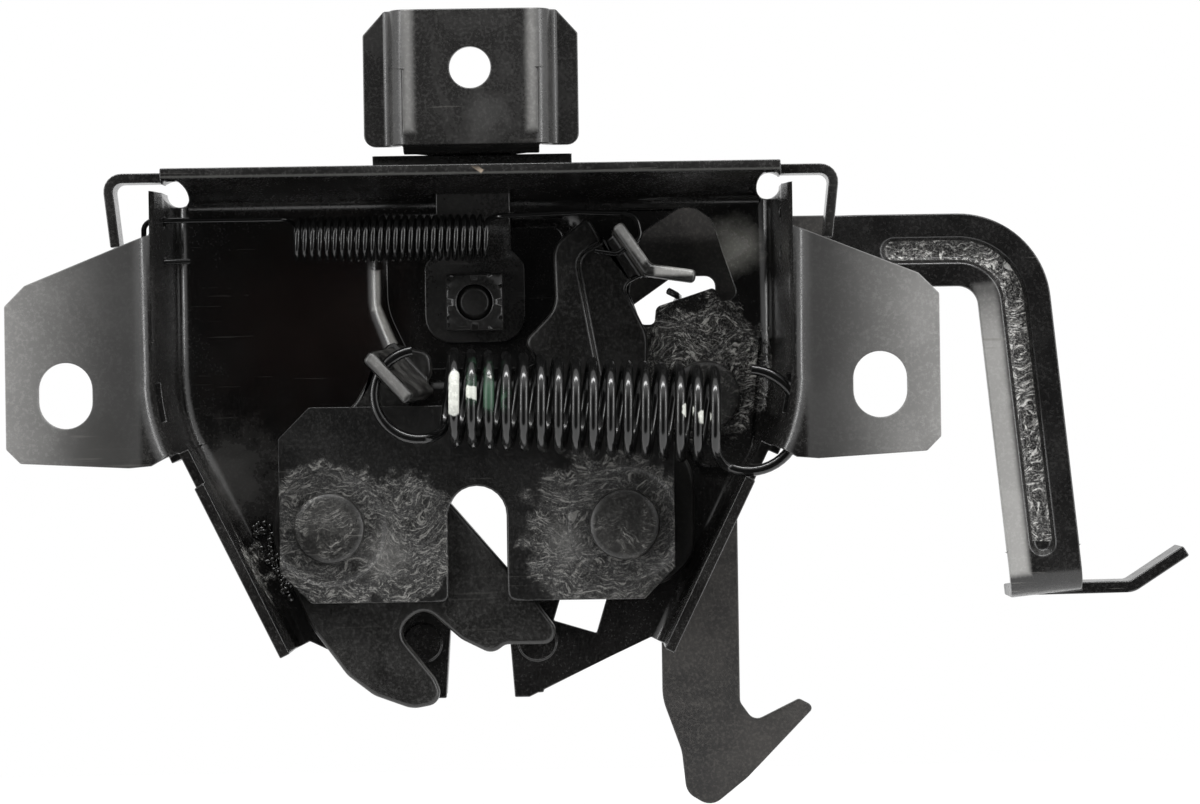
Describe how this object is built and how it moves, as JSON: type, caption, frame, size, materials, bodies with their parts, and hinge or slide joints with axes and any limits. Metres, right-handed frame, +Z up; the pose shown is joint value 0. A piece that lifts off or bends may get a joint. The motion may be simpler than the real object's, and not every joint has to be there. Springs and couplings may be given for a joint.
{
  "type": "bonnet latch",
  "caption": "Pressed-steel bonnet latch: a winged pan with a sprung fork and pawl that catch a striker, a safety hook with a bent release handle, and a bolted top bracket.",
  "frame": {"origin": "midway between the two fixing slots, on the rear face of the wings", "axes": "+X to the right across both wings, +Y from the mounting face into the latch, +Z up as pictured"},
  "size_m": [0.2006, 0.047, 0.1358],
  "materials": {
    "pan_black": "satin black dip coat",
    "lever_black": "gloss black dip coat",
    "hook_matte": "matte brownish black",
    "rivet_black": "satin black with a film of grease",
    "spring_black": "black coated spring wire"
  },
  "bodies": {
    "base": {"base_plate": "pan_black", "top_bracket": "pan_black", "front_plate": "pan_black", "fork_rivet": "rivet_black", "pawl_rivet": "rivet_black", "safety_rivet": "rivet_black", "fork_bush": "rivet_black", "pawl_bush": "rivet_black", "safety_bush": "rivet_black", "safety_washer": "rivet_black", "bracket_nut": "rivet_black", "bracket_bolt": "rivet_black", "fork_spring": "spring_black", "pawl_spring": "spring_black", "safety_spring": "spring_black"},
    "fork_body": {"fork": "lever_black"},
    "pawl_body": {"pawl": "lever_black"},
    "safety_lever": {"safety_hook": "hook_matte", "release_handle": "lever_black"}
  },
  "joints": [
    {"name": "fork_pivot", "type": "hinge", "parent": "base", "child": "fork_body", "pos_m": [-0.025, 0.0172, -0.023], "axis": [0, -1, 0], "range_deg": [0, 48], "stiffness_Nm_per_rad": 1.2, "springref_deg": -28.65, "deforming": ["fork_spring"]},
    {"name": "pawl_pivot", "type": "hinge", "parent": "base", "child": "pawl_body", "pos_m": [0.025, 0.0172, -0.023], "axis": [0, -1, 0], "range_deg": [-5, 7], "stiffness_Nm_per_rad": 0.6, "deforming": ["pawl_spring"]},
    {"name": "safety_pivot", "type": "hinge", "parent": "base", "child": "safety_lever", "pos_m": [0.039, 0.0258, -0.0015], "axis": [0, -1, 0], "range_deg": [-18, 0], "stiffness_Nm_per_rad": 0.3, "springref_deg": 28.65, "deforming": ["safety_spring"]}
  ]
}
